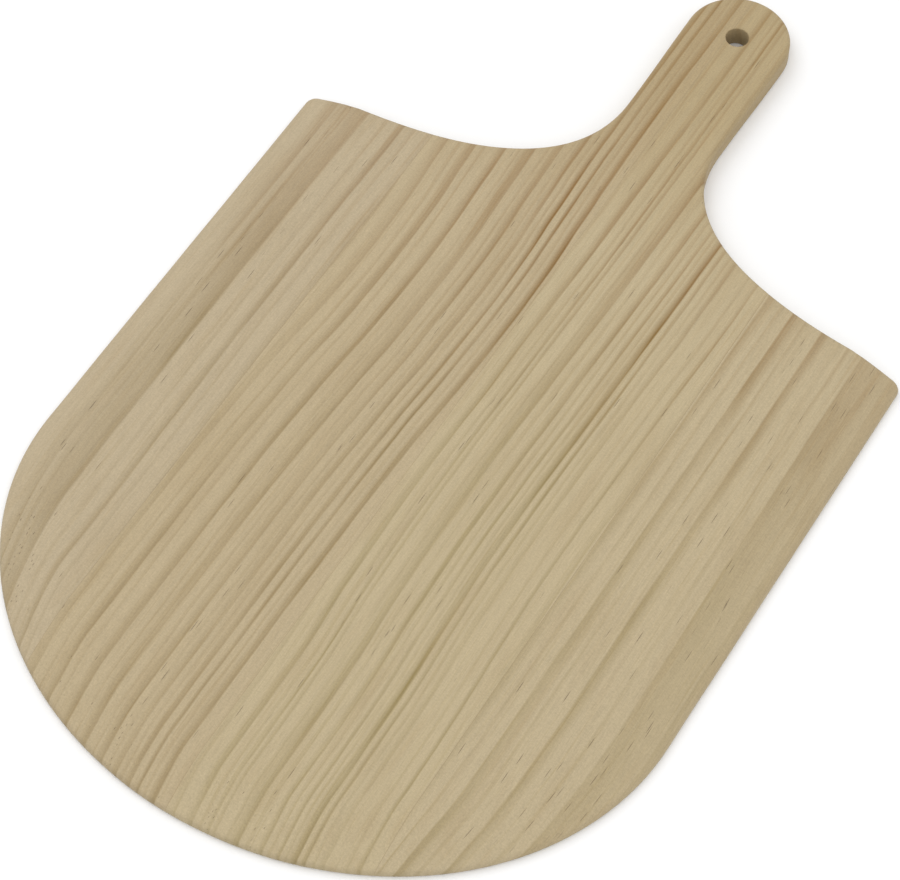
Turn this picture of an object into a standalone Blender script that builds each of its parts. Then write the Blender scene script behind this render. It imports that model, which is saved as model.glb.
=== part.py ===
"""Wooden pizza peel: a flat board glued up from four staves, its blade thinned towards the
front and the sides, with a short handle and a hanging hole.

Metres, +Z up. The board lies on its underside at z = 0. +Y runs from the tapered front to
the handle's tip, and the origin is under the middle of the board's bounding box.
"""

from math import ceil, cos, hypot, pi, radians, sin

import bmesh
import bpy
from mathutils import Vector
from mathutils.geometry import interpolate_bezier

# Board
LENGTH = 0.546
WIDTH = 0.340
THICKNESS = 0.012

# Blade outline
FRONT_DEPTH = 0.1445  # the half ellipse at the front, from its tip to where the sides run straight
CORNER_Y = 0.3705  # from the front tip to where the rear corners start
CORNER_RADIUS = 0.005
SHOULDER_ANGLE = radians(1.1)  # rise of the shoulder where it leaves the corner
SHOULDER_RUN = 0.124  # how far the shoulder keeps that direction
SHOULDER_SWEEP = 0.0275  # how far the handle's side keeps its direction into the shoulder

# Handle outline
WAIST_WIDTH = 0.0532
WAIST_Y = 0.452  # from the front tip
HANDLE_WIDTH = 0.0550
SWELL = 0.025  # length of the easy curve at each end of the handle's swelling

# Hanging hole, on the centre of the handle's round tip
HOLE_DIAMETER = 0.012

# Edges
EDGE_RADIUS_TOP = 0.0025
EDGE_RADIUS_BOTTOM = 0.0015
TOP_SHARE = 0.5  # of the edge's height, the most its top rounding may take
BOTTOM_SHARE = 0.375  # and the most its bottom rounding may take
RIM_RATIO = 1.2  # the rim's loops go this much deeper than the top rounding

# Taper of the blade's top face towards the front and both sides
TAPER_WIDTH = 0.030  # of the thinned band, measured square to the edge
TAPER_DROP = 0.0085  # of the top face at the very edge
TAPER_POWER = 1.5  # 1 is a flat bevel, more is hollower towards the blade

# Staves
STAVE_WIDTH = 0.0955  # of the two centre staves
CENTRE_JOINT_X = -0.0045
GLUE_FILM = 0.0003
JOINT_GAP = 0.0003  # between a glue film and the stave beside it

# Smoothness
FRONT_STEPS = 36  # in a quarter of the outline
CORNER_STEPS = 6
SHOULDER_STEPS = 18
SWELL_STEPS = 5
TIP_STEPS = 14
SIDE_STEPS = 10
EDGE_STEPS = 3
TOP_GRID = 0.008  # spacing of the top face's grid
HOLE_STEPS = 48
SHARP_ANGLE = radians(35)  # edges steeper than this are shaded sharp

WOOD_COLOURS = {
    "stave_left": (0.52, 0.43, 0.29, 1.0),
    "stave_centre_left": (0.50, 0.40, 0.25, 1.0),
    "stave_centre_right": (0.52, 0.42, 0.27, 1.0),
    "stave_right": (0.50, 0.41, 0.27, 1.0),
}
GLUE_COLOUR = (0.60, 0.47, 0.28, 1.0)

HALF_WIDTH = WIDTH / 2
HANDLE_RADIUS = HANDLE_WIDTH / 2
TIP_Y = LENGTH - HANDLE_RADIUS  # centre of the handle's round tip, from the front tip
RIM_BAND = RIM_RATIO * EDGE_RADIUS_TOP


def remove_all_objects():
    for thing in list(bpy.data.objects):
        bpy.data.objects.remove(thing, do_unlink=True)


def new_collection(name):
    collection = bpy.data.collections.new(name)
    bpy.context.scene.collection.children.link(collection)
    return collection


def new_material(name, colour, roughness):
    material = bpy.data.materials.new(name)
    material.use_nodes = True
    shader = material.node_tree.nodes["Principled BSDF"]
    shader.inputs["Base Color"].default_value = colour
    shader.inputs["Roughness"].default_value = roughness
    shader.inputs["Metallic"].default_value = 0.0
    material.diffuse_color = colour
    return material


def arc(centre_x, centre_y, radius_x, radius_y, start, end, steps):
    """Points round part of an ellipse, without the first one."""
    angles = [start + (end - start) * i / steps for i in range(1, steps + 1)]
    return [(centre_x + radius_x * cos(a), centre_y + radius_y * sin(a)) for a in angles]


def straight(start, end, steps):
    """Points along a line, without the first one."""
    (x0, y0), (x1, y1) = start, end
    return [(x0 + (x1 - x0) * i / steps, y0 + (y1 - y0) * i / steps) for i in range(1, steps + 1)]


def sweep(start, start_handle, end_handle, end, steps):
    """Points along a Bezier segment, without the first one."""
    corners = [Vector((x, y, 0.0)) for x, y in (start, start_handle, end_handle, end)]
    return [(p.x, p.y) for p in interpolate_bezier(*corners, steps + 1)[1:]]


def right_half_outline():
    """The outline's right half, from the front tip to the handle's tip."""
    points = [(0.0, 0.0)]
    points += arc(0.0, FRONT_DEPTH, HALF_WIDTH, FRONT_DEPTH, -pi / 2, 0.0, FRONT_STEPS)
    points += straight(points[-1], (HALF_WIDTH, CORNER_Y), SIDE_STEPS)
    points += arc(
        HALF_WIDTH - CORNER_RADIUS, CORNER_Y, CORNER_RADIUS, CORNER_RADIUS,
        0.0, pi / 2 - SHOULDER_ANGLE, CORNER_STEPS,
    )
    corner = points[-1]
    waist = (WAIST_WIDTH / 2, WAIST_Y)
    shoulder_handle = (
        corner[0] - SHOULDER_RUN * cos(SHOULDER_ANGLE),
        corner[1] + SHOULDER_RUN * sin(SHOULDER_ANGLE),
    )
    waist_handle = (waist[0], waist[1] - SHOULDER_SWEEP)
    points += sweep(corner, shoulder_handle, waist_handle, waist, SHOULDER_STEPS)
    widest = (HANDLE_RADIUS, TIP_Y)
    points += sweep(
        waist, (waist[0], waist[1] + SWELL), (widest[0], widest[1] - SWELL), widest, SWELL_STEPS
    )
    points += arc(0.0, TIP_Y, HANDLE_RADIUS, HANDLE_RADIUS, 0.0, pi / 2, TIP_STEPS)
    points[-1] = (0.0, LENGTH)
    return points


def board_outline():
    """The whole outline, anticlockwise from the front tip."""
    right = right_half_outline()
    left = [(-x, y) for x, y in reversed(right[1:-1])]
    return [Vector((x, y)) for x, y in right + left]


def inward_normals(outline):
    count = len(outline)
    normals = []
    for i in range(count):
        along = outline[(i + 1) % count] - outline[i - 1]
        normals.append(Vector((-along.y, along.x)).normalized())
    return normals


def edge_distance(x, y):
    """How far in from the blade's front and sides a place lies, with y from the front tip."""
    if y >= FRONT_DEPTH:
        return HALF_WIDTH - abs(x)
    across, along = x / HALF_WIDTH, (y - FRONT_DEPTH) / FRONT_DEPTH
    out = hypot(across, along)
    return out * (1.0 - out) / hypot(across / HALF_WIDTH, along / FRONT_DEPTH)


def top_height(x, y):
    """Height of the top face, thinned towards the blade's front and sides."""
    share = min(max(1.0 - edge_distance(x, y) / TAPER_WIDTH, 0.0), 1.0)
    return THICKNESS - TAPER_DROP * share ** TAPER_POWER


def rim_profile(edge, inward):
    """The rim's profile at one point of the outline, from the underside up on to the top face."""
    lip = top_height(edge.x, edge.y)
    turns = [pi / 2 * i / EDGE_STEPS for i in range(EDGE_STEPS + 1)]
    profile = []
    radius = min(EDGE_RADIUS_BOTTOM, BOTTOM_SHARE * lip)
    for a in turns:
        spot = edge + inward * radius * (1 - sin(a))
        profile.append(Vector((spot.x, spot.y, radius * (1 - cos(a)))))
    radius = min(EDGE_RADIUS_TOP, TOP_SHARE * lip)
    top = [(radius * (1 - cos(a)), radius * (1 - sin(a))) for a in turns] + [(RIM_BAND, 0.0)]
    for inset, sunk in top:
        spot = edge + inward * inset
        profile.append(Vector((spot.x, spot.y, top_height(spot.x, spot.y) - sunk)))
    return profile


def shape_top(blank, cap):
    """Divides the top face into a grid and lets every vertex down to the taper's height."""
    faces = [cap]
    for across, reach in ((Vector((1, 0, 0)), WIDTH), (Vector((0, 1, 0)), LENGTH)):
        count = ceil(reach / TOP_GRID)
        for i in range(1, count):
            edges = {edge for face in faces for edge in face.edges}
            cut = bmesh.ops.bisect_plane(
                blank, geom=faces + list(edges), plane_co=across * reach * (i / count - 0.5), plane_no=across
            )
            faces = [part for part in cut["geom"] if isinstance(part, bmesh.types.BMFace)]
    for vert in {vert for face in faces for vert in face.verts}:
        vert.co.z = top_height(vert.co.x, vert.co.y + LENGTH / 2)


def board_blank():
    """The whole board in one piece, as a bmesh: the rim's loops drawn up from the underside."""
    outline = board_outline()
    profiles = [rim_profile(*pair) for pair in zip(outline, inward_normals(outline))]
    middle = Vector((0.0, LENGTH / 2, 0.0))
    blank = bmesh.new()
    ring = [blank.verts.new(profile[0] - middle) for profile in profiles]
    underside = blank.faces.new(ring)
    underside.normal_flip()
    for level in range(1, len(profiles[0])):
        edges = [blank.edges.get((ring[i - 1], ring[i])) for i in range(len(ring))]
        made = bmesh.ops.extrude_edge_only(blank, edges=edges)["geom"]
        fresh = {part for part in made if isinstance(part, bmesh.types.BMVert)}
        ring = [next(e.other_vert(v) for e in v.link_edges if e.other_vert(v) in fresh) for v in ring]
        for vert, profile in zip(ring, profiles):
            vert.co = profile[level] - middle
    shape_top(blank, blank.faces.new(ring))
    bmesh.ops.triangulate(blank, faces=[face for face in blank.faces if face is not underside])
    bmesh.ops.recalc_face_normals(blank, faces=blank.faces[:])
    return blank


def keep_side(solid, point, outward):
    """Cuts a closed bmesh by a plane, drops what lies outward of it and closes the cut."""
    cut = bmesh.ops.bisect_plane(
        solid, geom=solid.verts[:] + solid.edges[:] + solid.faces[:], dist=1e-6,
        plane_co=point, plane_no=outward, clear_outer=True,
    )
    rim = [part for part in cut["geom_cut"] if isinstance(part, bmesh.types.BMEdge)]
    bmesh.ops.contextual_create(solid, geom=rim)


def slice_of_board(blank, x_range, y_range=None):
    """A closed slice of the board between two planes across its width, and two along it."""
    piece = blank.copy()
    if x_range[0] is not None:
        keep_side(piece, (x_range[0], 0, 0), (-1, 0, 0))
    if x_range[1] is not None:
        keep_side(piece, (x_range[1], 0, 0), (1, 0, 0))
    if y_range and y_range[0] is not None:
        keep_side(piece, (0, y_range[0], 0), (0, -1, 0))
    if y_range and y_range[1] is not None:
        keep_side(piece, (0, y_range[1], 0), (0, 1, 0))
    bmesh.ops.recalc_face_normals(piece, faces=piece.faces[:])
    return piece


def add_node(collection, name, solid, material):
    mesh = bpy.data.meshes.new(name)
    solid.to_mesh(mesh)
    solid.free()
    mesh.materials.append(material)
    mesh.shade_smooth()
    mesh.set_sharp_from_angle(angle=SHARP_ANGLE)
    node = bpy.data.objects.new(name, mesh)
    collection.objects.link(node)
    return node


def hole_cutter(collection):
    """The drill for the hanging hole, which runs well past both faces."""
    drill = bmesh.new()
    bmesh.ops.create_cone(
        drill, cap_ends=True, segments=HOLE_STEPS,
        radius1=HOLE_DIAMETER / 2, radius2=HOLE_DIAMETER / 2, depth=3 * THICKNESS,
    )
    mesh = bpy.data.meshes.new("hole_cutter")
    drill.to_mesh(mesh)
    drill.free()
    cutter = bpy.data.objects.new("hole_cutter", mesh)
    cutter.location = (0.0, hole_y(), THICKNESS / 2)
    cutter.hide_render = True
    cutter.display_type = "WIRE"
    collection.objects.link(cutter)
    return cutter


def hole_y():
    return TIP_Y - LENGTH / 2


def drill_through(node, cutter):
    drill = node.modifiers.new("hanging_hole", "BOOLEAN")
    drill.operation = "DIFFERENCE"
    drill.solver = "EXACT"
    drill.object = cutter


def build():
    remove_all_objects()
    parts = new_collection("pizza_peel")
    cutters = new_collection("cutters")
    cutter = hole_cutter(cutters)
    glue = new_material("wood_glue", GLUE_COLOUR, 0.5)
    blank = board_blank()

    joints = [CENTRE_JOINT_X - STAVE_WIDTH, CENTRE_JOINT_X, CENTRE_JOINT_X + STAVE_WIDTH]
    setback = GLUE_FILM / 2 + JOINT_GAP
    staves = {
        "stave_left": (None, joints[0] - setback),
        "stave_centre_left": (joints[0] + setback, joints[1] - setback),
        "stave_centre_right": (joints[1] + setback, joints[2] - setback),
        "stave_right": (joints[2] + setback, None),
    }
    for name, x_range in staves.items():
        wood = new_material(name, WOOD_COLOURS[name], 0.6)
        stave = add_node(parts, name, slice_of_board(blank, x_range), wood)
        if "centre" in name:
            drill_through(stave, cutter)

    # The hole is drilled through the centre glue line, which leaves a film on each side of it.
    films = {
        "glue_line_left": (joints[0], None),
        "glue_line_centre": (joints[1], (None, hole_y() - JOINT_GAP / 2)),
        "glue_line_tip": (joints[1], (hole_y() + JOINT_GAP / 2, None)),
        "glue_line_right": (joints[2], None),
    }
    for name, (x, y_range) in films.items():
        film = slice_of_board(blank, (x - GLUE_FILM / 2, x + GLUE_FILM / 2), y_range)
        node = add_node(parts, name, film, glue)
        if y_range:
            drill_through(node, cutter)
    blank.free()


build()
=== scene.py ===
"""Looks of a wooden pizza peel: a board glued up from four pine staves, sanded and left bare.

Metres, +Z up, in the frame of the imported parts. The board lies on its underside at z = 0, and
+Y runs from the thinned front edge to the handle's tip. Sizes of the grain are in millimetres,
because the finishes work in millimetres.
"""

import logging
import math
from dataclasses import dataclass, field
from enum import Enum
from typing import Optional, Sequence, Union

import bmesh
import bpy
from mathutils import Euler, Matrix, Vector, noise
from mathutils.geometry import interpolate_bezier


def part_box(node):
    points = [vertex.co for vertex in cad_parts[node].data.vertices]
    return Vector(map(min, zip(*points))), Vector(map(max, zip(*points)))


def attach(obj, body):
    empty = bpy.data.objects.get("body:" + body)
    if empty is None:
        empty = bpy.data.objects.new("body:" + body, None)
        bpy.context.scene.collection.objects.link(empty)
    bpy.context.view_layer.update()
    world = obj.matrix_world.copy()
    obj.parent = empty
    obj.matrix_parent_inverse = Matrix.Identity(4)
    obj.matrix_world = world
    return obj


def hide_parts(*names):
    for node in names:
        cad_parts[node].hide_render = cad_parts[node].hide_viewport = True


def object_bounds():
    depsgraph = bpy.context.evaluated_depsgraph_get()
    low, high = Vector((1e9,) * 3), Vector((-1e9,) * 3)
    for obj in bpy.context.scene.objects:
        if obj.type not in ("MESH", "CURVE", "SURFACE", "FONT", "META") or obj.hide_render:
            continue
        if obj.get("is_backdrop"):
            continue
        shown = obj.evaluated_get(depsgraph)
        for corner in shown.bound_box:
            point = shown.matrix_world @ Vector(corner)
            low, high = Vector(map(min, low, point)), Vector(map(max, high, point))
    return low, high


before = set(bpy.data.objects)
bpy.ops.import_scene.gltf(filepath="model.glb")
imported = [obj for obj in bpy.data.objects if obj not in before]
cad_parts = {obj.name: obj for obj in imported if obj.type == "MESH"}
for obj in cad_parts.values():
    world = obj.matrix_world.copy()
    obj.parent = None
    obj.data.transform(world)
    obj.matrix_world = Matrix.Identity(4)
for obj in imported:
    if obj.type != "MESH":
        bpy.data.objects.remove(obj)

MM = 0.001
EDGE_LAYER = "edge_distance"
SHARP_ANGLE = math.radians(40)  # edges steeper than this are shaded sharp
TOUCHING = 1e-6  # places nearer than this are one
GLUE_FILM = 0.00012  # width of a glue line
CLOUD_RANGE = (0.3, 0.7)  # what soft noise mostly covers

# How many steps a curve is drawn in
FRONT_STEPS = 80  # in a quarter of the outline
SIDE_STEPS = 36
CORNER_STEPS = 14
SHOULDER_STEPS = 44
SWELL_STEPS = 16
TIP_STEPS = 30
RIM_STEPS = 8
EASE_STEPS = 6
DRILL_STEPS = 72

log = logging.getLogger("pizza_peel")

Colour = tuple[float, float, float, float]
Socket = bpy.types.NodeSocket
Value = Union[Socket, float]
Point = tuple[float, float]
Span = tuple[Optional[float], Optional[float]]


class Glueing(Enum):
    """The joints between the staves, from left to right, by the CAD node of their glue line."""

    LEFT = "glue_line_left"
    CENTRE = "glue_line_centre"
    RIGHT = "glue_line_right"

    @property
    def x(self) -> float:
        """Where the joint runs across the board."""
        low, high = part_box(self.value)
        return (low.x + high.x) / 2


class LateWood(Enum):
    """How dark a year's late wood grows, as a share of the darkest."""

    FAINT = 0.26
    PLAIN = 0.40
    STRONG = 0.56


def paint(red: int, green: int, blue: int) -> Colour:
    """Turns a colour chip's three display values, from 0 to 255, into a shader's colour."""
    chip = (red / 255, green / 255, blue / 255)
    light = [c / 12.92 if c <= 0.04045 else ((c + 0.055) / 1.055) ** 2.4 for c in chip]
    return (*light, 1.0)


@dataclass
class Blank:
    """The glued-up board in one piece, shaped and rounded, before it is divided into staves.

    Attributes:
        length: From the front edge to the handle's tip.
        width: Across the blade.
        thickness: Of the board away from its thinned edges.
        front_depth: Of the half ellipse at the front.
        corner_y: From the front edge to where the rear corners start.
        corner_radius: Of the rear corners.
        shoulder_angle: Rise of the shoulder where it leaves the corner.
        shoulder_run: How far the shoulder keeps that direction.
        shoulder_sweep: How far the handle's side keeps its direction into the shoulder.
        waist_width: Across the handle's narrowest place.
        waist_y: Of that place, from the front edge.
        handle_width: Across the handle's round tip.
        swell: Length of the easy curve at each end of the handle's swelling.
        hole_diameter: Of the hanging hole.
        hole_ease: How far the hole's rims are rounded over.
        top_radius: Of the rounding along the top edge.
        bottom_radius: Of the rounding along the bottom edge.
        top_share: Of a thin lip's height, the most its top rounding may take.
        bottom_share: And the most its bottom rounding may take.
        rim_band: How deep the rim's loops go.
        taper_width: Of the thinned band along the front and the sides, square to the edge.
        taper_drop: Of the top face at the very edge.
        taper_power: 1 is a flat bevel, more is hollower towards the blade.
        hand: How far the sanded edge wanders from its line.
        hand_length: Over about what length it does.
        sanding: How much the roundings vary, as a share, and over about what length.
        unevenness: How far the sanded face wanders from flat.
        slow_wave: Size across and along of its wide unevenness.
        quick_wave: Size across and along of the narrow one.
        mesh_step: Between the lines that divide the top face.
    """

    length: float
    width: float
    thickness: float
    front_depth: float = 0.1445
    corner_y: float = 0.3705
    corner_radius: float = 0.005
    shoulder_angle: float = math.radians(1.1)
    shoulder_run: float = 0.124
    shoulder_sweep: float = 0.0275
    waist_width: float = 0.0532
    waist_y: float = 0.452
    handle_width: float = 0.0550
    swell: float = 0.025
    hole_diameter: float = 0.012
    hole_ease: float = 0.0006
    top_radius: float = 0.0025
    bottom_radius: float = 0.0015
    top_share: float = 0.5
    bottom_share: float = 0.375
    rim_band: float = 0.003
    taper_width: float = 0.030
    taper_drop: float = 0.0085
    taper_power: float = 1.5
    hand: float = 0.00012
    hand_length: float = 0.035
    sanding: Point = (0.14, 0.05)
    unevenness: float = 0.00008
    slow_wave: Point = (0.045, 0.120)
    quick_wave: Point = (0.016, 0.040)
    mesh_step: float = 0.004

    @property
    def tip_y(self) -> float:
        """The centre of the handle's round tip, from the front edge."""
        return self.length - self.handle_width / 2

    @property
    def hole_y(self) -> float:
        """The hanging hole's centre, along the frame."""
        return self.tip_y - self.length / 2

    def arc(self, centre: Point, radii: Point, start: float, end: float, steps: int) -> list[Point]:
        """Walks round part of an ellipse.

        Args:
            centre: Of the ellipse.
            radii: Across and along the board.
            start: Angle to start from, which gives no point of its own.
            end: Angle to stop at.
            steps: How many points to give.

        Returns:
            The points.
        """
        angles = [start + (end - start) * i / steps for i in range(1, steps + 1)]
        return [(centre[0] + radii[0] * math.cos(a), centre[1] + radii[1] * math.sin(a)) for a in angles]

    def sweep(self, start: Point, leaving: Point, arriving: Point, end: Point, steps: int) -> list[Point]:
        """Walks along a Bezier segment.

        Args:
            start: The first end, which gives no point of its own.
            leaving: The first end's handle.
            arriving: The last end's handle.
            end: The last end.
            steps: How many points to give.

        Returns:
            The points.
        """
        corners = [Vector((x, y, 0.0)) for x, y in (start, leaving, arriving, end)]
        return [(p.x, p.y) for p in interpolate_bezier(*corners, steps + 1)[1:]]

    def right_half(self) -> list[Point]:
        """Draws the outline's right half, from the front edge's middle to the handle's tip."""
        half = self.width / 2
        points = [(0.0, 0.0)]
        points += self.arc((0.0, self.front_depth), (half, self.front_depth), -math.pi / 2, 0.0, FRONT_STEPS)
        side = (half, self.corner_y)
        points += self.sweep(points[-1], points[-1], side, side, SIDE_STEPS)
        corner_centre = (half - self.corner_radius, self.corner_y)
        corner_radii = (self.corner_radius, self.corner_radius)
        points += self.arc(corner_centre, corner_radii, 0.0, math.pi / 2 - self.shoulder_angle, CORNER_STEPS)
        corner = points[-1]
        waist = (self.waist_width / 2, self.waist_y)
        leaving = (
            corner[0] - self.shoulder_run * math.cos(self.shoulder_angle),
            corner[1] + self.shoulder_run * math.sin(self.shoulder_angle),
        )
        arriving = (waist[0], waist[1] - self.shoulder_sweep)
        points += self.sweep(corner, leaving, arriving, waist, SHOULDER_STEPS)
        widest = (self.handle_width / 2, self.tip_y)
        swelling = (waist[0], waist[1] + self.swell), (widest[0], widest[1] - self.swell)
        points += self.sweep(waist, *swelling, widest, SWELL_STEPS)
        points += self.arc((0.0, self.tip_y), (widest[0], widest[0]), 0.0, math.pi / 2, TIP_STEPS)
        points[-1] = (0.0, self.length)
        return points

    def outline(self) -> list[Vector]:
        """Draws the whole outline anticlockwise, with the slight wander of an edge sanded by hand."""
        right = self.right_half()
        left = [(-x, y) for x, y in reversed(right[1:-1])]
        line = [Vector((x, y)) for x, y in right + left]
        wander = [self.hand * noise.noise(Vector((p.x, p.y, 0.0)) / self.hand_length) for p in line]
        return [p + n * w for p, n, w in zip(line, self.inward(line), wander)]

    def inward(self, line: Sequence[Vector]) -> list[Vector]:
        """Gives the direction into the board at each point of an outline."""
        normals = []
        for i in range(len(line)):
            along = line[(i + 1) % len(line)] - line[i - 1]
            normals.append(Vector((-along.y, along.x)).normalized())
        return normals

    def edge_distance(self, x: float, y: float) -> float:
        """Says how far in from the blade's front and sides a place lies.

        Args:
            x: Across the board.
            y: From the front edge.

        Returns:
            The distance.
        """
        half, depth = self.width / 2, self.front_depth
        if y >= depth:
            return half - abs(x)
        across, along = x / half, (y - depth) / depth
        out = math.hypot(across, along)
        return out * (1.0 - out) / math.hypot(across / half, along / depth)

    def top_height(self, x: float, y: float) -> float:
        """Says how high the top face lies, which is thinned towards the blade's front and sides.

        Args:
            x: Across the board.
            y: From the front edge.

        Returns:
            The height.
        """
        share = min(max(1.0 - self.edge_distance(x, y) / self.taper_width, 0.0), 1.0)
        return self.thickness - self.taper_drop * share ** self.taper_power

    def profile(self, edge: Vector, inward: Vector) -> list[tuple[float, float]]:
        """Draws the rim's profile at one point of the outline.

        Args:
            edge: The outline's point, from the front edge.
            inward: The direction into the board.

        Returns:
            Insets and heights, from the underside round on to the top face.
        """
        change, over = self.sanding
        sanding = 1.0 + change * noise.noise(Vector((edge.x, edge.y, 0.7)) / over)
        lip = self.top_height(edge.x, edge.y)
        below = min(self.bottom_radius, self.bottom_share * lip) * sanding
        above = min(self.top_radius, self.top_share * lip) * sanding
        turns = [math.pi / 2 * i / RIM_STEPS for i in range(RIM_STEPS + 1)]
        points = [(below * (1 - math.sin(a)), below * (1 - math.cos(a))) for a in turns]
        for inset, sunk in [(above * (1 - math.cos(a)), above * (1 - math.sin(a))) for a in turns]:
            spot = edge + inward * inset
            points.append((inset, self.top_height(spot.x, spot.y) - sunk))
        spot = edge + inward * self.rim_band
        return points + [(self.rim_band, self.top_height(spot.x, spot.y))]

    def draw(self) -> bmesh.types.BMesh:
        """Draws the board up from the underside's outline, loop by loop, and closes both faces.

        Returns:
            A closed mesh, with the distance from the outline kept on each vertex, in millimetres.
        """
        line = self.outline()
        normals = self.inward(line)
        profiles = [self.profile(*pair) for pair in zip(line, normals)]
        board = bmesh.new()
        distance = board.verts.layers.float.new(EDGE_LAYER)

        def place(vert: bmesh.types.BMVert, i: int, level: int) -> None:
            """Puts a loop's vertex on the rim's profile."""
            inset, height = profiles[i][level]
            spot = line[i] + normals[i] * inset
            vert.co = (spot.x, spot.y - self.length / 2, height)
            vert[distance] = inset / MM

        loop = [board.verts.new() for _ in line]
        for i, vert in enumerate(loop):
            place(vert, i, 0)
        board.faces.new(reversed(loop))
        for level in range(1, len(profiles[0])):
            edges = [board.edges.get((loop[i - 1], loop[i])) for i in range(len(loop))]
            made = bmesh.ops.extrude_edge_only(board, edges=edges)["geom"]
            fresh = {part for part in made if isinstance(part, bmesh.types.BMVert)}
            loop = [next(e.other_vert(v) for e in v.link_edges if e.other_vert(v) in fresh) for v in loop]
            for i, vert in enumerate(loop):
                place(vert, i, level)
        self.shape_top(board, board.faces.new(loop))
        bmesh.ops.recalc_face_normals(board, faces=board.faces[:])
        return board

    def shape_top(self, board: bmesh.types.BMesh, cap: bmesh.types.BMFace) -> None:
        """Divides the top face by lines across and along it and lets it down to its height.

        Args:
            board: The closed board.
            cap: Its top face.
        """
        geom = [cap, *cap.edges, *cap.verts]
        for size, axis in ((self.width, Vector((1, 0, 0))), (self.length, Vector((0, 1, 0)))):
            count = round(size / self.mesh_step)
            for i in range(1, count):
                spot = axis * (size * (i / count - 0.5))
                geom = bmesh.ops.bisect_plane(
                    board, geom=geom, dist=TOUCHING, plane_co=spot, plane_no=axis,
                )["geom"]
        for part in geom:
            if isinstance(part, bmesh.types.BMVert):
                part.co.z = self.top_height(part.co.x, part.co.y + self.length / 2)

    def wear(self, piece: bmesh.types.BMesh, lift: float) -> None:
        """Makes the top face as uneven as sanded wood that has dried, and leaves the underside flat.

        Args:
            piece: A part of the board.
            lift: How far its top face stands above its neighbours'.
        """
        (wide, long), (narrow, short) = self.slow_wave, self.quick_wave
        for vert in piece.verts:
            share = vert.co.z / self.thickness
            slow = noise.noise(Vector((vert.co.x / wide, vert.co.y / long, 0.0)))
            quick = noise.noise(Vector((vert.co.x / narrow, vert.co.y / short, 5.0)))
            vert.co.z += share * (lift + self.unevenness * (slow + 0.4 * quick))

    def part(self, board: bmesh.types.BMesh, across: Span, along: Span, lift: float) -> bmesh.types.BMesh:
        """Cuts a closed part out of the board.

        Args:
            board: The closed board, which is left as it is.
            across: The planes that bound the part from left to right, if any.
            along: The planes that bound it from front to tip, if any.
            lift: How far its top face stands above its neighbours'.

        Returns:
            The part, as a mesh of its own.
        """
        piece = board.copy()
        for axis, (low, high) in ((Vector((1, 0, 0)), across), (Vector((0, 1, 0)), along)):
            for place, outward in ((low, -axis), (high, axis)):
                if place is None:
                    continue
                cut = bmesh.ops.bisect_plane(
                    piece, geom=piece.verts[:] + piece.edges[:] + piece.faces[:], dist=TOUCHING,
                    plane_co=axis * place, plane_no=outward, clear_outer=True,
                )
                rim = [e for e in cut["geom_cut"] if isinstance(e, bmesh.types.BMEdge)]
                bmesh.ops.contextual_create(piece, geom=rim)
        self.wear(piece, lift)
        bmesh.ops.recalc_face_normals(piece, faces=piece.faces[:])
        return piece

    def drill(self) -> bpy.types.Object:
        """Turns the cutter of the hanging hole, which flares at both faces to ease the hole's rims."""
        radius, ease, beyond = self.hole_diameter / 2, self.hole_ease, 0.004
        profile = [(0.0, -beyond), (radius + ease, -beyond)]
        for i in range(EASE_STEPS + 1):
            a = math.pi / 2 * i / EASE_STEPS
            profile.append((radius + ease * (1 - math.sin(a)), ease * (1 - math.cos(a))))
        profile += [(across, self.thickness - height) for across, height in reversed(profile)]
        cutter = bmesh.new()
        verts = [cutter.verts.new((across, 0.0, height)) for across, height in profile]
        edges = [cutter.edges.new(pair) for pair in zip(verts, verts[1:])]
        bmesh.ops.spin(
            cutter, geom=verts + edges, cent=(0, 0, 0), axis=(0, 0, 1),
            angle=2 * math.pi, steps=DRILL_STEPS, use_merge=True,
        )
        bmesh.ops.remove_doubles(cutter, verts=cutter.verts[:], dist=TOUCHING)
        bmesh.ops.recalc_face_normals(cutter, faces=cutter.faces[:])
        bmesh.ops.translate(cutter, verts=cutter.verts[:], vec=(0.0, self.hole_y, 0.0))
        return new_object("hole_drill", cutter)

    def drilled(self, piece: bpy.types.Object, drill: bpy.types.Object) -> None:
        """Drills the hanging hole through a piece and keeps the result as its mesh.

        Args:
            piece: The piece to drill.
            drill: The cutter.
        """
        modifier = piece.modifiers.new("hanging_hole", "BOOLEAN")
        modifier.operation = "DIFFERENCE"
        modifier.solver = "EXACT"
        modifier.object = drill
        shape = piece.evaluated_get(bpy.context.evaluated_depsgraph_get())
        mesh = bpy.data.meshes.new_from_object(shape)
        piece.modifiers.clear()
        piece.data = mesh
        centre = Vector((0.0, self.hole_y))
        for vert, kept in zip(mesh.vertices, mesh.attributes[EDGE_LAYER].data):
            from_hole = ((vert.co.xy - centre).length - self.hole_diameter / 2) / MM
            if from_hole < self.handle_width / 2 / MM:
                kept.value = min(kept.value, max(from_hole, 0.0))


def new_object(name: str, shape: bmesh.types.BMesh) -> bpy.types.Object:
    """Puts a finished shape in the scene as an object at the origin.

    Args:
        name: The object's name.
        shape: Its shape, which is used up.

    Returns:
        The object.
    """
    mesh = bpy.data.meshes.new(name)
    shape.to_mesh(mesh)
    shape.free()
    made = bpy.data.objects.new(name, mesh)
    bpy.context.scene.collection.objects.link(made)
    return made


# ---------------------------------------------------------------------------------------
# Finishes
# ---------------------------------------------------------------------------------------


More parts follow.
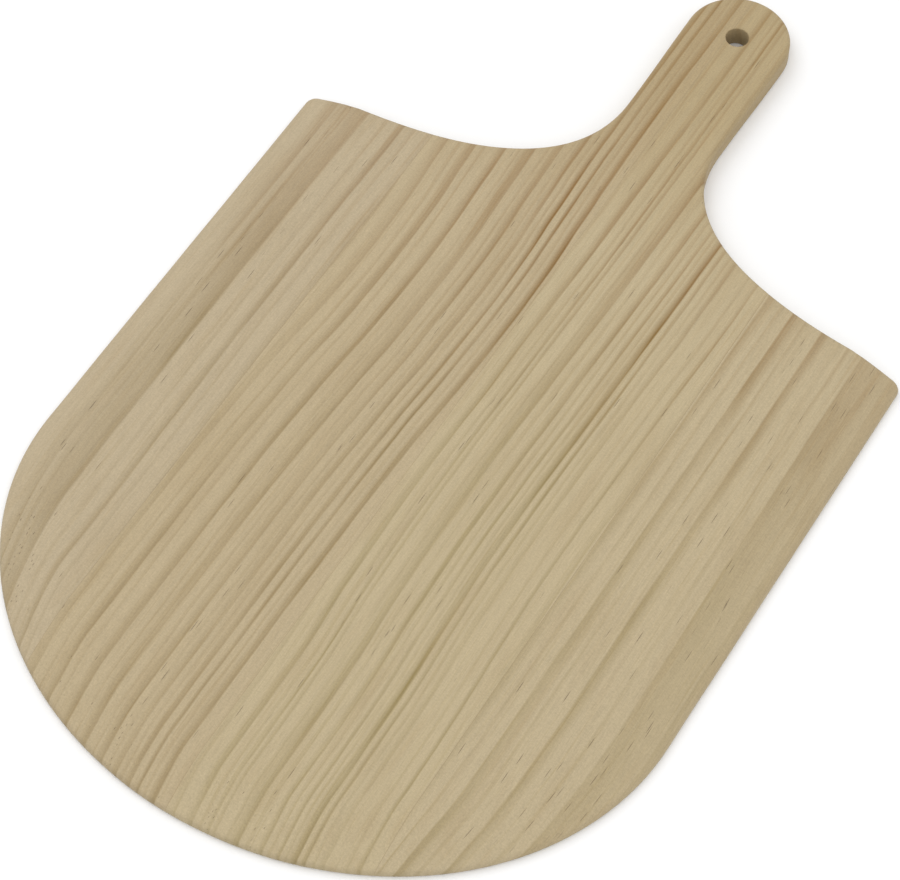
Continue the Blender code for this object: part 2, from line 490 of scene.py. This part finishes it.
class Wiring:
    """Lays nodes in a material and joins them, so that a finish reads as a list of steps."""

    def __init__(self, name: str, like: Colour) -> None:
        """Starts a material with one Principled shader.

        Args:
            name: The material's name.
            like: Its colour in plain views.
        """
        self.material = bpy.data.materials.new(name)
        self.material.use_nodes = True
        self.material.diffuse_color = like
        self.nodes = self.material.node_tree.nodes
        self.links = self.material.node_tree.links
        self.shader = self.nodes["Principled BSDF"]

    def feed(self, socket: Socket, value: Union[Value, Colour, Vector]) -> None:
        """Joins a socket to another, or sets it to a plain value."""
        if isinstance(value, Socket):
            self.links.new(value, socket)
        else:
            socket.default_value = value

    def maths(self, operation: str, *values: Value, clamp: bool = False) -> Socket:
        """Lays a Math node.

        Args:
            operation: What it does.
            values: What it works on.
            clamp: Whether the result is kept from 0 to 1.

        Returns:
            The result.
        """
        node = self.nodes.new("ShaderNodeMath")
        node.operation = operation
        node.use_clamp = clamp
        for socket, value in zip(node.inputs, values):
            self.feed(socket, value)
        return node.outputs[0]

    def total(self, *values: Value) -> Socket:
        """Adds several values up."""
        result = values[0]
        for value in values[1:]:
            result = self.maths("ADD", result, value)
        return result

    def product(self, *values: Value) -> Socket:
        """Multiplies several values."""
        result = values[0]
        for value in values[1:]:
            result = self.maths("MULTIPLY", result, value)
        return result

    def spread(self, value: Value, low: float, high: float, start: float = 0.0, end: float = 1.0) -> Socket:
        """Maps a range of a value evenly to another, and holds it beyond both ends.

        Args:
            value: The value.
            low: The value that gives start.
            high: The value that gives end.
            start: The result at low.
            end: The result at high.

        Returns:
            The result.
        """
        node = self.nodes.new("ShaderNodeMapRange")
        for socket, given in zip(node.inputs, (value, low, high, start, end)):
            self.feed(socket, given)
        return node.outputs[0]

    def swing(self, cloud: Socket, start: float, end: float) -> Socket:
        """Maps what soft noise mostly covers to another range."""
        return self.spread(cloud, *CLOUD_RANGE, start, end)

    def triple(self, x: Value, y: Value, z: Value) -> Socket:
        """Joins three values to one place."""
        node = self.nodes.new("ShaderNodeCombineXYZ")
        for socket, value in zip(node.inputs, (x, y, z)):
            self.feed(socket, value)
        return node.outputs[0]

    def stretched(self, place: Socket, x: float, y: float, z: float, shift: float = 0.0) -> Socket:
        """Scales a place so that a pattern of unit size comes out x, y and z millimetres long.

        Args:
            place: The place, in millimetres.
            x: The pattern's size across.
            y: Its size along.
            z: Its size through.
            shift: How far the pattern is moved, in its own units.

        Returns:
            The scaled place.
        """
        node = self.nodes.new("ShaderNodeMapping")
        node.inputs["Scale"].default_value = (1 / x, 1 / y, 1 / z)
        node.inputs["Location"].default_value = (shift, 1.7 * shift, 2.3 * shift)
        self.feed(node.inputs["Vector"], place)
        return node.outputs[0]

    def clouds(self, place: Socket, detail: float = 2.0, roughness: float = 0.5) -> Socket:
        """Reads soft noise at a place, from 0 to 1 with a mean near a half."""
        node = self.nodes.new("ShaderNodeTexNoise")
        node.inputs["Scale"].default_value = 1.0
        node.inputs["Detail"].default_value = detail
        node.inputs["Roughness"].default_value = roughness
        self.feed(node.inputs["Vector"], place)
        return node.outputs[0]

    def cells(self, place: Socket) -> tuple[Socket, Socket]:
        """Scatters one seed in each unit of space.

        Returns:
            The distance to the nearest seed, and a number from 0 to 1 that is that seed's own.
        """
        node = self.nodes.new("ShaderNodeTexVoronoi")
        node.inputs["Scale"].default_value = 1.0
        self.feed(node.inputs["Vector"], place)
        own = self.nodes.new("ShaderNodeSeparateColor")
        self.links.new(node.outputs["Color"], own.inputs[0])
        return node.outputs["Distance"], own.outputs[0]

    def blend(self, share: Value, first: Union[Socket, Colour], second: Union[Socket, Colour]) -> Socket:
        """Mixes two colours.

        Args:
            share: Of the second colour, from 0 to 1.
            first: The colour at 0.
            second: The colour at 1.

        Returns:
            The mixed colour.
        """
        node = self.nodes.new("ShaderNodeMix")
        node.data_type = "RGBA"
        self.feed(node.inputs[0], share)
        self.feed(node.inputs[6], first)
        self.feed(node.inputs[7], second)
        return node.outputs[2]

    def brightened(self, colour: Socket, factor: Value, saturation: Value = 1.0) -> Socket:
        """Multiplies a colour's brightness and saturation."""
        node = self.nodes.new("ShaderNodeHueSaturation")
        self.feed(node.inputs["Saturation"], saturation)
        self.feed(node.inputs["Value"], factor)
        self.feed(node.inputs["Color"], colour)
        return node.outputs[0]

    def curve(self, value: Value, low: float, high: float, points: Sequence[Point], reach: float) -> Socket:
        """Follows a smooth line through given points.

        Args:
            value: Where to read the line.
            low: The line's first place.
            high: Its last place.
            points: Places and heights, in order.
            reach: More than the largest height either way.

        Returns:
            The line's height.
        """
        node = self.nodes.new("ShaderNodeFloatCurve")
        line = node.mapping.curves[0]
        ends = (points[0][1], points[-1][1])
        stops = [(low, ends[0]), *[p for p in points if low < p[0] < high], (high, ends[1])]
        for _ in range(len(stops) - 2):
            line.points.new(0.5, 0.5)
        for point, (place, height) in zip(line.points, stops):
            point.location = ((place - low) / (high - low), 0.5 + 0.5 * height / reach)
        node.mapping.update()
        self.feed(node.inputs["Value"], self.spread(value, low, high))
        return self.spread(node.outputs[0], 0.0, 1.0, -reach, reach)

    def place(self) -> tuple[Socket, Socket, Socket]:
        """Reads the place on the object, in millimetres, as three values."""
        source = self.nodes.new("ShaderNodeTexCoord")
        scale = self.nodes.new("ShaderNodeVectorMath")
        scale.operation = "SCALE"
        scale.inputs["Scale"].default_value = 1 / MM
        self.links.new(source.outputs["Object"], scale.inputs[0])
        split = self.nodes.new("ShaderNodeSeparateXYZ")
        self.links.new(scale.outputs[0], split.inputs[0])
        return split.outputs[0], split.outputs[1], split.outputs[2]

    def layer(self, name: str) -> Socket:
        """Reads a value kept on the mesh."""
        node = self.nodes.new("ShaderNodeAttribute")
        node.attribute_name = name
        return node.outputs["Fac"]

    def facing_along(self) -> Socket:
        """Says how much a surface faces the front or the tip, from 0 to 1."""
        source = self.nodes.new("ShaderNodeTexCoord")
        split = self.nodes.new("ShaderNodeSeparateXYZ")
        self.links.new(source.outputs["Normal"], split.inputs[0])
        return self.maths("ABSOLUTE", split.outputs[1])

    def relief(self, height: Socket, depth: float) -> None:
        """Gives the surface a relief.

        Args:
            height: From 0 to 1.
            depth: How high a 1 stands, in metres.
        """
        node = self.nodes.new("ShaderNodeBump")
        node.inputs["Strength"].default_value = 1.0
        node.inputs["Distance"].default_value = depth
        self.feed(node.inputs["Height"], height)
        self.links.new(node.outputs[0], self.shader.inputs["Normal"])


@dataclass(frozen=True)
class Ring:
    """One year's growth, where it meets the board's top face. All in millimetres.

    Attributes:
        edge: Where its dark late wood stops sharply, across the board.
        band: How wide the late wood is, which darkens towards that edge.
        dark: How dark it grows.
    """

    edge: float
    band: float
    dark: LateWood


@dataclass(frozen=True)
class Timber:
    """How a stave was sawn from its tree. All in millimetres.

    Attributes:
        pith: The tree's centre beside the stave, across the board and above its underside.
        rings: The years that stand out on the top face.
        sway: How far the grain wanders across at the stave's left side and at its right side, as
            (place along, wander), from front to tip.
        canals: Rows of resin canals, as (place across, width of the row).
        early: Colour of the pale early wood.
        late: Colour of the dark late wood.
        seed: Shifts the patterns, so that no two staves are alike.
    """

    pith: Point
    rings: tuple[Ring, ...]
    sway: tuple[tuple[Point, ...], tuple[Point, ...]]
    canals: tuple[Point, ...]
    early: Colour
    late: Colour
    seed: float


@dataclass(frozen=True)
class BarePine:
    """Sanded pine with no varnish: growth rings, fibre, resin canals and end grain, right through.

    Attributes:
        reach: Half the length over which the sway is drawn, in millimetres.
        sway_limit: More than the largest sway either way, in millimetres.
        inset: How far in from a stave's sides its left and right sways hold, in millimetres.
        face: Height of the top face, in millimetres.
        sharpness: Width over which late wood gives way to the next year's early wood.
        roughness: Of early and of late wood.
        relief: How deep the sanded grain is, in metres.
        canal: Colour of a resin canal.
        stain: Colour of the browner patches.
        ripe: Colour of the late wood towards the handle, where it is browner.
        ripening: Where along the board it starts to turn and where it has, in millimetres.
        handled: Colour that hands rub into the handle.
        grip: Where along the board that starts and where it is full, in millimetres.
        unseen: How dark the years grow that don't stand out.
        close: How near two years that stand out may be with none between them.
        thin: How wide the late wood is of a year between them.
        irregular: How much the years that don't show on the face vary in width, as a share.
        late_share: How much of such a year is late wood.
    """

    reach: float = 275.0
    sway_limit: float = 8.0
    inset: float = 8.0
    face: float = 12.0
    sharpness: float = 0.7
    roughness: Point = (0.66, 0.52)
    relief: float = 0.00004
    canal: Colour = paint(74, 56, 36)
    stain: Colour = paint(158, 134, 94)
    ripe: Colour = paint(126, 92, 42)
    ripening: Point = (-60.0, 110.0)
    handled: Colour = paint(146, 120, 70)
    grip: Point = (90.0, 200.0)
    unseen: float = 0.16
    close: float = 7.0
    thin: float = 1.6
    irregular: float = 0.3
    late_share: float = 0.4

    def grow(self, timber: Timber, low: float, high: float) -> list[tuple[float, float, float]]:
        """Works out where the rings lie from the pith, and adds the faint years and those below the face.

        Args:
            timber: The stave's timber.
            low: The stave's left side.
            high: Its right side.

        Returns:
            Each ring's distance from the pith, width and darkness, from the innermost out.
        """
        px, pz = timber.pith
        seen = sorted((math.hypot(r.edge - px, self.face - pz), r.band, r.dark.value) for r in timber.rings)
        corners = [math.hypot(x - px, z - pz) for x in (low, high) for z in (0.0, self.face)]
        spacing = (seen[-1][0] - seen[0][0]) / (len(seen) - 1)
        inner, outer, years = seen[0][0], seen[-1][0], []
        for (near, _, _), (far, _, _) in zip(seen, seen[1:]):
            if far - near > self.close:
                share = 0.5 + 0.4 * noise.noise(Vector((near, timber.seed, 7.0)))
                years.append((near + share * (far - near), self.thin, self.unseen))
        while inner > min(corners):
            inner -= spacing * (1.0 + self.irregular * noise.noise(Vector((inner, timber.seed, 0.0))))
            years.append((inner, self.late_share * spacing, self.unseen))
        while outer < max(corners):
            outer += spacing * (1.0 + self.irregular * noise.noise(Vector((outer, timber.seed, 0.0))))
            years.append((outer, self.late_share * spacing, self.unseen))
        return sorted(seen + years)

    def make(self, name: str, timber: Timber, low: float, high: float) -> bpy.types.Material:
        """Makes the finish of one stave.

        Args:
            name: The material's name.
            timber: The stave's timber.
            low: The stave's left side.
            high: Its right side.

        Returns:
            The material.
        """
        wire = Wiring(name, timber.early)
        x, y, z = wire.place()
        px, pz = timber.pith
        reach, limit = self.reach, self.sway_limit
        left, right = (wire.curve(y, -reach, reach, line, limit) for line in timber.sway)
        wander = wire.spread(x, low + self.inset, high - self.inset, left, right)
        raw = wire.triple(x, y, z)
        slow = wire.clouds(wire.stretched(raw, 22.0, 75.0, 22.0, timber.seed))
        quick = wire.clouds(wire.stretched(raw, 5.0, 26.0, 5.0, timber.seed))
        wobble = wire.total(wire.swing(slow, -0.3, 0.3), wire.swing(quick, -0.1, 0.1))
        across = wire.maths("SUBTRACT", wire.maths("SUBTRACT", x, wander), wobble)
        from_pith = wire.maths(
            "SQRT",
            wire.total(
                wire.maths("POWER", wire.maths("SUBTRACT", across, px), 2.0),
                wire.maths("POWER", wire.maths("SUBTRACT", z, pz), 2.0),
            ),
        )
        grain = wire.triple(from_pith, y, wire.maths("SUBTRACT", x, z))

        late: Value = 0.0
        for edge, band, dark in self.grow(timber, low, high):
            rise = wire.spread(from_pith, edge - band, edge - 0.3 * self.sharpness, 0.0, dark)
            stop = wire.spread(from_pith, edge, edge + self.sharpness, 1.0, 0.0)
            late = wire.total(late, wire.product(rise, stop))
        years = wire.clouds(wire.stretched(grain, 6.0, 80.0, 40.0, timber.seed + 3.0))
        strength = wire.product(wire.swing(years, 0.6, 1.4), wire.spread(y, -100.0, 60.0, 0.9, 1.25))
        late = wire.product(late, strength)

        streaks = wire.clouds(wire.stretched(grain, 1.1, 90.0, 14.0, timber.seed + 5.0), 3.0, 0.6)
        late = wire.maths("ADD", late, wire.spread(streaks, 0.52, 0.78, 0.0, 0.28), clamp=True)
        fibre = wire.clouds(wire.stretched(raw, 0.30, 9.0, 0.30, timber.seed), 2.0, 0.6)
        rays = wire.clouds(wire.stretched(raw, 1.1, 0.8, 1.1, timber.seed), 2.0, 0.8)
        patches = wire.clouds(wire.stretched(raw, 6.0, 70.0, 6.0, timber.seed + 9.0), 2.0)
        canal = self.canal_share(wire, grain, from_pith, timber)

        ripe = wire.blend(wire.spread(y, *self.ripening, 0.0, 1.0), timber.late, self.ripe)
        colour = wire.blend(late, timber.early, ripe)
        colour = wire.blend(wire.spread(patches, 0.50, 0.80, 0.0, 0.25), colour, self.stain)
        colour = wire.blend(wire.spread(y, *self.grip, 0.0, 0.32), colour, self.handled)
        tone = wire.total(
            wire.swing(streaks, 0.955, 1.045),
            wire.swing(fibre, -0.07, 0.07),
            wire.swing(rays, -0.09, 0.09),
            wire.swing(patches, 0.012, -0.012),
        )
        end_grain = wire.spread(wire.facing_along(), 0.45, 0.95)
        tone = wire.product(tone, wire.spread(end_grain, 0.0, 1.0, 1.0, 0.9))
        rim = wire.spread(wire.layer(EDGE_LAYER), 0.0, 3.0, 1.0, 0.0)
        tone = wire.product(tone, wire.spread(rim, 0.0, 1.0, 1.0, 0.975))
        colour = wire.brightened(colour, tone)
        colour = wire.blend(canal, colour, self.canal)
        wire.feed(wire.shader.inputs["Base Color"], colour)

        gloss = wire.total(
            wire.spread(late, 0.0, 1.0, *self.roughness),
            wire.swing(fibre, -0.04, 0.04),
            wire.spread(rim, 0.0, 1.0, 0.0, -0.05),
        )
        wire.feed(wire.shader.inputs["Roughness"], gloss)
        wire.shader.inputs["Specular IOR Level"].default_value = 0.35
        height = wire.total(
            wire.product(fibre, 0.45), wire.product(rays, 0.2), wire.product(late, 0.6),
            wire.product(canal, -0.8),
        )
        wire.relief(height, self.relief)
        return wire.material

    def canal_share(self, wire: Wiring, grain: Socket, from_pith: Socket, timber: Timber) -> Socket:
        """Scatters resin canals, which show as short dark dashes along the grain.

        Args:
            wire: The finish being made.
            grain: The place in the tree.
            from_pith: The distance from the pith.
            timber: The stave's timber.

        Returns:
            How much of a canal each place is, from 0 to 1.
        """
        px, pz = timber.pith
        near: Value = 0.03
        for row, width in timber.canals:
            centre = math.hypot(row - px, self.face - pz)
            off = wire.maths("ABSOLUTE", wire.maths("SUBTRACT", from_pith, centre))
            near = wire.maths("MAXIMUM", near, wire.spread(off, 0.4 * width, 0.6 * width, 0.8, 0.0))
        distance, own = wire.cells(wire.stretched(grain, 1.2, 26.0, 1.2, timber.seed + 7.0))
        chosen = wire.maths("LESS_THAN", own, near)
        return wire.product(wire.spread(distance, 0.10, 0.17, 0.8, 0.0), chosen)


@dataclass(frozen=True)
class WoodGlue:
    """A line of dried wood glue, sanded flush: amber and a little glossier than the wood.

    Attributes:
        colour: Where the line is full.
        starved: Where the wood has drawn it in.
        roughness: Of the sanded glue.
    """

    colour: Colour = paint(142, 118, 82)
    starved: Colour = paint(158, 140, 108)
    roughness: float = 0.5

    def make(self) -> bpy.types.Material:
        """Makes the finish."""
        wire = Wiring("wood_glue", self.colour)
        x, y, z = wire.place()
        patches = wire.clouds(wire.stretched(wire.triple(x, y, z), 2.0, 14.0, 2.0), 3.0)
        wire.feed(wire.shader.inputs["Base Color"], wire.blend(patches, self.colour, self.starved))
        rough = wire.swing(patches, self.roughness - 0.06, self.roughness + 0.08)
        wire.feed(wire.shader.inputs["Roughness"], rough)
        wire.relief(patches, 0.00002)
        return wire.material


# ---------------------------------------------------------------------------------------
# Pieces
# ---------------------------------------------------------------------------------------


@dataclass
class Stave:
    """One board of the four, planed, glued to its neighbours and sanded with them.

    Attributes:
        node: The CAD node and material slot that it stands for.
        left: The joint on its left, if it has one.
        right: The joint on its right, if it has one.
        timber: How it was sawn.
        lift: How far it stands above its neighbours since it dried.
        film: Width of the glue line in a joint.
        clearance: Between the glue and the stave.
    """

    node: str
    left: Optional[Glueing]
    right: Optional[Glueing]
    timber: Timber
    lift: float = 0.0
    film: float = GLUE_FILM
    clearance: float = 0.00001
    piece: Optional[bpy.types.Object] = field(default=None, init=False)

    def build(self, blank: Blank, board: bmesh.types.BMesh, drill: bpy.types.Object) -> None:
        """Cuts the stave out of the board and drills it where the hanging hole crosses it.

        Args:
            blank: The board's sizes.
            board: The board in one piece.
            drill: The cutter of the hanging hole.
        """
        setback = self.film / 2 + self.clearance
        low = None if self.left is None else self.left.x + setback
        high = None if self.right is None else self.right.x - setback
        self.piece = new_object(self.node + "_wood", blank.part(board, (low, high), (None, None), self.lift))
        if Glueing.CENTRE in (self.left, self.right):
            blank.drilled(self.piece, drill)
        self.piece.data.shade_smooth()
        self.piece.data.set_sharp_from_angle(angle=SHARP_ANGLE)

    def dress(self, pine: BarePine) -> None:
        """Gives the stave its wood and sets it in the frame.

        Args:
            pine: The finish.
        """
        low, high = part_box(self.node)
        self.piece.data.materials.clear()
        self.piece.data.materials.append(pine.make(self.node, self.timber, low.x / MM, high.x / MM))
        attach(self.piece, "root")
        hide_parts(self.node)


@dataclass
class GlueLine:
    """One film of glue between two staves, sanded flush with them.

    Attributes:
        node: The CAD node that it stands for.
        joint: The joint that it fills.
        film: Its width.
    """

    node: str
    joint: Glueing
    film: float = GLUE_FILM
    piece: Optional[bpy.types.Object] = field(default=None, init=False)

    def build(self, blank: Blank, board: bmesh.types.BMesh, drill: bpy.types.Object) -> None:
        """Cuts the film out of the board, as long as its CAD node.

        Args:
            blank: The board's sizes.
            board: The board in one piece.
            drill: The cutter of the hanging hole.
        """
        low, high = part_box(self.node)
        along = (None, None)
        beside_hole = self.joint is Glueing.CENTRE
        if beside_hole:
            along = (None, blank.hole_y - MM / 10) if low.y < 0 < high.y else (blank.hole_y + MM / 10, None)
        across = (self.joint.x - self.film / 2, self.joint.x + self.film / 2)
        self.piece = new_object(self.node + "_film", blank.part(board, across, along, 0.0))
        if beside_hole:
            blank.drilled(self.piece, drill)
        self.piece.data.shade_smooth()
        self.piece.data.set_sharp_from_angle(angle=SHARP_ANGLE)

    def dress(self, glue: bpy.types.Material) -> None:
        """Gives the film its finish and sets it in the frame.

        Args:
            glue: The finish.
        """
        self.piece.data.materials.clear()
        self.piece.data.materials.append(glue)
        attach(self.piece, "root")
        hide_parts(self.node)


# ---------------------------------------------------------------------------------------
# The staves' timber
# ---------------------------------------------------------------------------------------

FAINT, PLAIN, STRONG = LateWood

LEFT_SWAY = ((-150, 1.5), (-80, 0.5), (0, 0.0), (100, 1.0))

LEFT_TIMBER = Timber(
    pith=(-184, -48),
    rings=(Ring(-158, 5, FAINT), Ring(-136, 13, PLAIN), Ring(-116, 3, PLAIN), Ring(-100, 4, FAINT)),
    sway=(LEFT_SWAY, LEFT_SWAY),
    canals=((-156, 3), (-132, 3), (-146, 4)),
    early=paint(176, 160, 131),
    late=paint(122, 101, 54),
    seed=11.0,
)

CENTRE_LEFT_TIMBER = Timber(
    pith=(-190, -12),
    rings=(
        Ring(-91, 6, FAINT), Ring(-77, 5, PLAIN), Ring(-63, 5, PLAIN), Ring(-50, 6, PLAIN),
        Ring(-39, 4, PLAIN), Ring(-30, 4, PLAIN), Ring(-22, 3, STRONG), Ring(-17, 2, STRONG),
        Ring(-8, 4, STRONG),
    ),
    sway=(
        ((-120, -5.0), (-50, -2.5), (0, 1.0), (40, 2.0), (100, -0.5), (150, -2.5)),
        ((-120, -4.0), (-50, -2.0), (0, 0.5), (50, 1.5), (100, 0.0), (150, -1.5)),
    ),
    canals=((-36, 4),),
    early=paint(176, 159, 127),
    late=paint(117, 93, 38),
    seed=23.0,
)

CENTRE_RIGHT_TIMBER = Timber(
    pith=(-96, -16),
    rings=(
        Ring(4, 4, PLAIN), Ring(13, 2, PLAIN), Ring(16, 2, FAINT), Ring(28, 6, PLAIN),
        Ring(39, 3, PLAIN), Ring(47, 2, PLAIN), Ring(55, 4, STRONG), Ring(59, 2, PLAIN),
        Ring(67, 3, FAINT), Ring(82, 2, PLAIN),
    ),
    sway=(
        ((-190, 3.0), (-130, 0.0), (-80, -1.0), (0, 0.0), (100, 2.0), (200, 3.0)),
        ((-190, 2.0), (-120, -0.5), (-80, -1.5), (0, 0.0), (100, 2.5)),
    ),
    canals=((11, 4), (33, 3)),
    early=paint(179, 163, 130),
    late=paint(119, 101, 40),
    seed=37.0,
)

RIGHT_TIMBER = Timber(
    pith=(196, -44),
    rings=(Ring(92, 4, FAINT), Ring(107, 5, PLAIN), Ring(125, 4, PLAIN), Ring(150, 20, FAINT)),
    sway=(
        ((-240, -3.0), (-190, -1.5), (0, 0.0), (100, 0.5)),
        ((-150, 2.0), (-50, 0.5), (0, 0.0), (100, -1.0)),
    ),
    canals=((120, 3), (133, 3), (142, 3), (158, 10)),
    early=paint(178, 162, 130),
    late=paint(124, 104, 48),
    seed=51.0,
)


# ---------------------------------------------------------------------------------------
# Studio
# ---------------------------------------------------------------------------------------


@dataclass(frozen=True)
class SoftBox:
    """A square soft light aimed at the middle of the board.

    Attributes:
        name: Its name.
        azimuth: Round from the front, towards the right, in degrees.
        elevation: Above the floor, in degrees.
        distance: From the board.
        size: Of its side.
        power: In watts.
    """

    name: str
    azimuth: float
    elevation: float
    distance: float
    size: float
    power: float

    def hang(self) -> None:
        """Puts the light in the scene."""
        turn, rise = math.radians(self.azimuth), math.radians(self.elevation)
        away = Vector((math.sin(turn) * math.cos(rise), -math.cos(turn) * math.cos(rise), math.sin(rise)))
        lamp = bpy.data.lights.new(self.name, "AREA")
        lamp.shape = "SQUARE"
        lamp.size = self.size
        lamp.energy = self.power
        light = bpy.data.objects.new(self.name, lamp)
        light.location = away * self.distance
        light.rotation_euler = away.to_track_quat("Z", "Y").to_euler()
        bpy.context.scene.collection.objects.link(light)


@dataclass
class Studio:
    """A pale floor, soft lights and the camera.

    Attributes:
        floor_side: Of the square floor.
        floor_drop: How far the floor lies below the board's underside.
        floor_colour: Of the floor.
        mottle_size: Size of the floor card's soft mottling, in millimetres.
        mottle: How bright the card's darkest places are, as a share.
        ambient: Brightness of the white room.
        lights: The soft boxes.
        eye: Where the camera stands.
        gaze: How it is turned, in degrees.
        lens: Its focal length, in millimetres.
    """

    floor_side: float = 12.0
    floor_drop: float = 0.0004
    floor_colour: Colour = (0.93, 0.93, 0.93, 1.0)
    mottle_size: float = 40.0
    mottle: float = 0.985
    ambient: float = 0.93
    lights: tuple[SoftBox, ...] = (
        SoftBox("key", 250.0, 52.0, 2.4, 1.6, 10.0),
        SoftBox("fill", 30.0, 60.0, 3.0, 2.4, 15.0),
    )
    eye: tuple[float, float, float] = (0.430, -0.759, 1.294)
    gaze: tuple[float, float, float] = (32.99, -0.46, 31.53)
    lens: float = 128.9

    def floor(self) -> None:
        """Lays the floor."""
        shape = bmesh.new()
        bmesh.ops.create_grid(shape, x_segments=1, y_segments=1, size=self.floor_side / 2)
        bmesh.ops.translate(shape, verts=shape.verts[:], vec=(0.0, 0.0, -self.floor_drop))
        laid = new_object("floor", shape)
        wire = Wiring("floor_card", self.floor_colour)
        x, y, z = wire.place()
        size = self.mottle_size
        card = wire.clouds(wire.stretched(wire.triple(x, y, z), size, size, size), 3.0)
        pale = tuple(c * self.mottle for c in self.floor_colour[:3]) + (1.0,)
        wire.feed(wire.shader.inputs["Base Color"], wire.blend(card, pale, self.floor_colour))
        wire.shader.inputs["Roughness"].default_value = 0.9
        wire.shader.inputs["Specular IOR Level"].default_value = 0.1
        laid.data.materials.append(wire.material)
        laid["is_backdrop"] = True

    def room(self) -> None:
        """Lights the room evenly and shows colours as they are."""
        scene = bpy.context.scene
        world = bpy.data.worlds.new("white_room")
        world.use_nodes = True
        world.node_tree.nodes["Background"].inputs["Color"].default_value = (1.0, 1.0, 1.0, 1.0)
        world.node_tree.nodes["Background"].inputs["Strength"].default_value = self.ambient
        scene.world = world
        scene.view_settings.view_transform = "Standard"
        for light in self.lights:
            light.hang()

    def camera(self) -> None:
        """Puts the camera up."""
        lens = bpy.data.cameras.new("camera")
        lens.lens = self.lens
        camera = bpy.data.objects.new("camera", lens)
        camera.location = self.eye
        camera.rotation_euler = Euler([math.radians(a) for a in self.gaze])
        bpy.context.scene.collection.objects.link(camera)
        bpy.context.scene.camera = camera


def main() -> None:
    """Builds the peel's pieces in order, dresses them and sets up the studio."""
    logging.basicConfig(level=logging.INFO, format="%(message)s")
    low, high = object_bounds()
    size = high - low
    blank = Blank(size.y, size.x, size.z)
    board = blank.draw()
    drill = blank.drill()
    pine, glue = BarePine(), WoodGlue().make()
    staves = (
        Stave("stave_left", None, Glueing.LEFT, LEFT_TIMBER, 0.00002),
        Stave("stave_centre_left", Glueing.LEFT, Glueing.CENTRE, CENTRE_LEFT_TIMBER),
        Stave("stave_centre_right", Glueing.CENTRE, Glueing.RIGHT, CENTRE_RIGHT_TIMBER, 0.00003),
        Stave("stave_right", Glueing.RIGHT, None, RIGHT_TIMBER),
    )
    films = (
        GlueLine("glue_line_left", Glueing.LEFT),
        GlueLine("glue_line_centre", Glueing.CENTRE),
        GlueLine("glue_line_tip", Glueing.CENTRE),
        GlueLine("glue_line_right", Glueing.RIGHT),
    )
    for stave in staves:
        stave.build(blank, board, drill)
        stave.dress(pine)
        log.info("%s: %d faces", stave.piece.name, len(stave.piece.data.polygons))
    for film in films:
        film.build(blank, board, drill)
        film.dress(glue)
        log.info("%s: %d faces", film.piece.name, len(film.piece.data.polygons))
    board.free()
    bpy.data.objects.remove(drill, do_unlink=True)
    studio = Studio()
    studio.floor()
    studio.room()
    studio.camera()
    log.info("studio: %d lights", len(studio.lights))
    bpy.context.view_layer.update()
    low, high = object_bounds()


if __name__ == "__main__":
    main()
